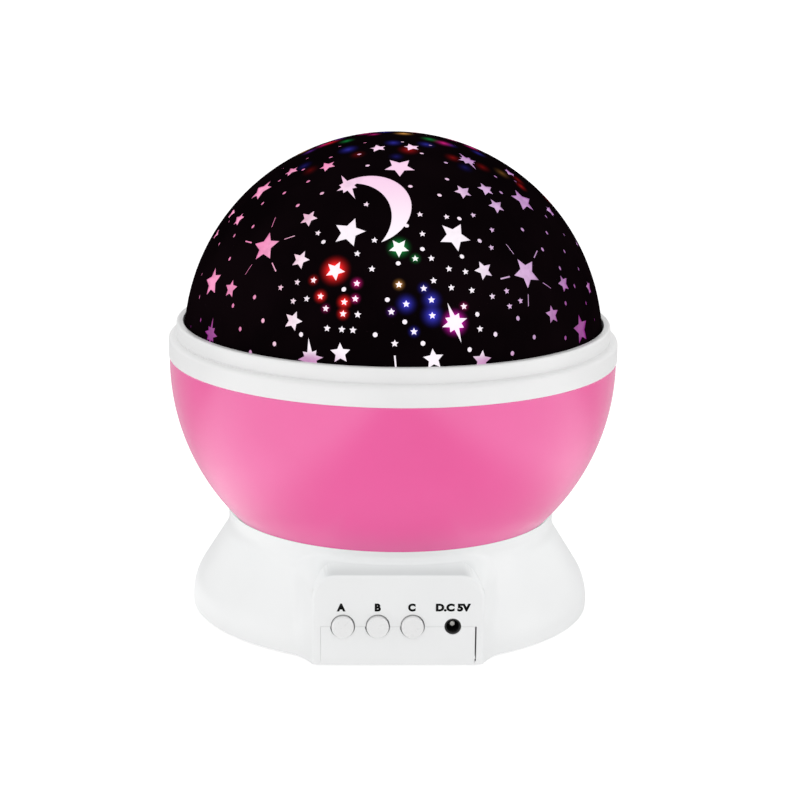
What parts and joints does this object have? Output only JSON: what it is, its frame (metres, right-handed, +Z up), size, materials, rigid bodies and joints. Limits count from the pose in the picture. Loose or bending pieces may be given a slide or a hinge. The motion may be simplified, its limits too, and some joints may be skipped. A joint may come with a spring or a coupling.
{
  "type": "star night light projector",
  "caption": "Turning star night light: black pierced dome over a pink bowl with a white rim, on a flared white base with push buttons and a power inlet.",
  "frame": {"origin": "on the turning axis, at the plane the rubber feet stand on", "axes": "+Z up along the turning axis, -Y the way the buttons face, +X towards the power inlet's side"},
  "size_m": [0.13, 0.13, 0.1392],
  "materials": {
    "white_plastic": "satin moulded white ABS",
    "rim_plastic": "satin moulded white ABS",
    "button_plastic": "satin moulded white ABS",
    "pink_plastic": "polished pink ABS",
    "lit_dome": "frosted clear plastic lit from inside",
    "mask_black": "black film with star windows",
    "black_plastic": "moulded black plastic",
    "inner_plastic": "plain white moulding",
    "drive_plastic": "natural acetal",
    "foot_rubber": "grey rubber",
    "screw_steel": "zinc plated steel",
    "board_green": "green solder mask",
    "wire_red": "red wire insulation",
    "cell_wrap": "plain foil wrap",
    "lamp_white": "clear epoxy",
    "lamp_red": "red epoxy",
    "lamp_green": "green epoxy",
    "lamp_blue": "blue epoxy"
  },
  "bodies": {
    "base": {"base_housing": "white_plastic", "bottom_cover": "white_plastic", "rubber_feet": "foot_rubber", "housing_screws": "screw_steel", "control_board": "board_green", "push_switches": "black_plastic", "dc_jack": "black_plastic", "gear_motor": "screw_steel", "motor_screws": "screw_steel", "thrust_washer": "drive_plastic", "led_post": "inner_plastic", "post_screws": "screw_steel", "led_board": "inner_plastic", "led_cup": "inner_plastic", "led_wires": "wire_red", "led_white": "lamp_white", "led_red": "lamp_red", "led_green": "lamp_green", "led_blue": "lamp_blue", "battery_cells": "cell_wrap", "cell_springs": "screw_steel", "cell_plates": "screw_steel"},
    "globe": {"bowl": "pink_plastic", "rim_band": "rim_plastic", "turntable_gear": "drive_plastic", "hub_screws": "screw_steel"},
    "dome_cap": {"collar_ring": "rim_plastic", "diffuser_dome": "lit_dome", "star_mask": "mask_black"},
    "drive": {"motor_pinion": "drive_plastic", "motor_shaft": "screw_steel"},
    "key_a": {"button_a": "button_plastic"},
    "key_b": {"button_b": "button_plastic"},
    "key_c": {"button_c": "button_plastic"},
    "door": {"battery_door": "white_plastic", "door_screw": "screw_steel"}
  },
  "joints": [
    {"name": "globe_spin", "type": "hinge", "parent": "base", "child": "globe", "pos_m": [0, 0, 0.0185], "axis": [0, 0, 1], "continuous": true},
    {"name": "pinion_spin", "type": "hinge", "parent": "base", "child": "drive", "pos_m": [0, -0.03, 0.0185], "axis": [0, 0, 1], "continuous": true},
    {"name": "dome_lift", "type": "slide", "parent": "globe", "child": "dome_cap", "axis": [0, 0, 1], "range_m": [0, 0.06]},
    {"name": "press_a", "type": "slide", "parent": "base", "child": "key_a", "axis": [0, 1, 0], "range_m": [0, 0.0012], "stiffness_N_per_m": 400, "springref_m": -0.002},
    {"name": "press_b", "type": "slide", "parent": "base", "child": "key_b", "axis": [0, 1, 0], "range_m": [0, 0.0012], "stiffness_N_per_m": 400, "springref_m": -0.002},
    {"name": "press_c", "type": "slide", "parent": "base", "child": "key_c", "axis": [0, 1, 0], "range_m": [0, 0.0012], "stiffness_N_per_m": 400, "springref_m": -0.002},
    {"name": "door_swing", "type": "hinge", "parent": "base", "child": "door", "pos_m": [0, -0.0047, 0.0008], "axis": [-1, 0, 0], "range_deg": [0, 75]}
  ],
  "couplings": [
    {"joint": "pinion_spin", "follows": "globe_spin", "ratio": -2.75}
  ]
}
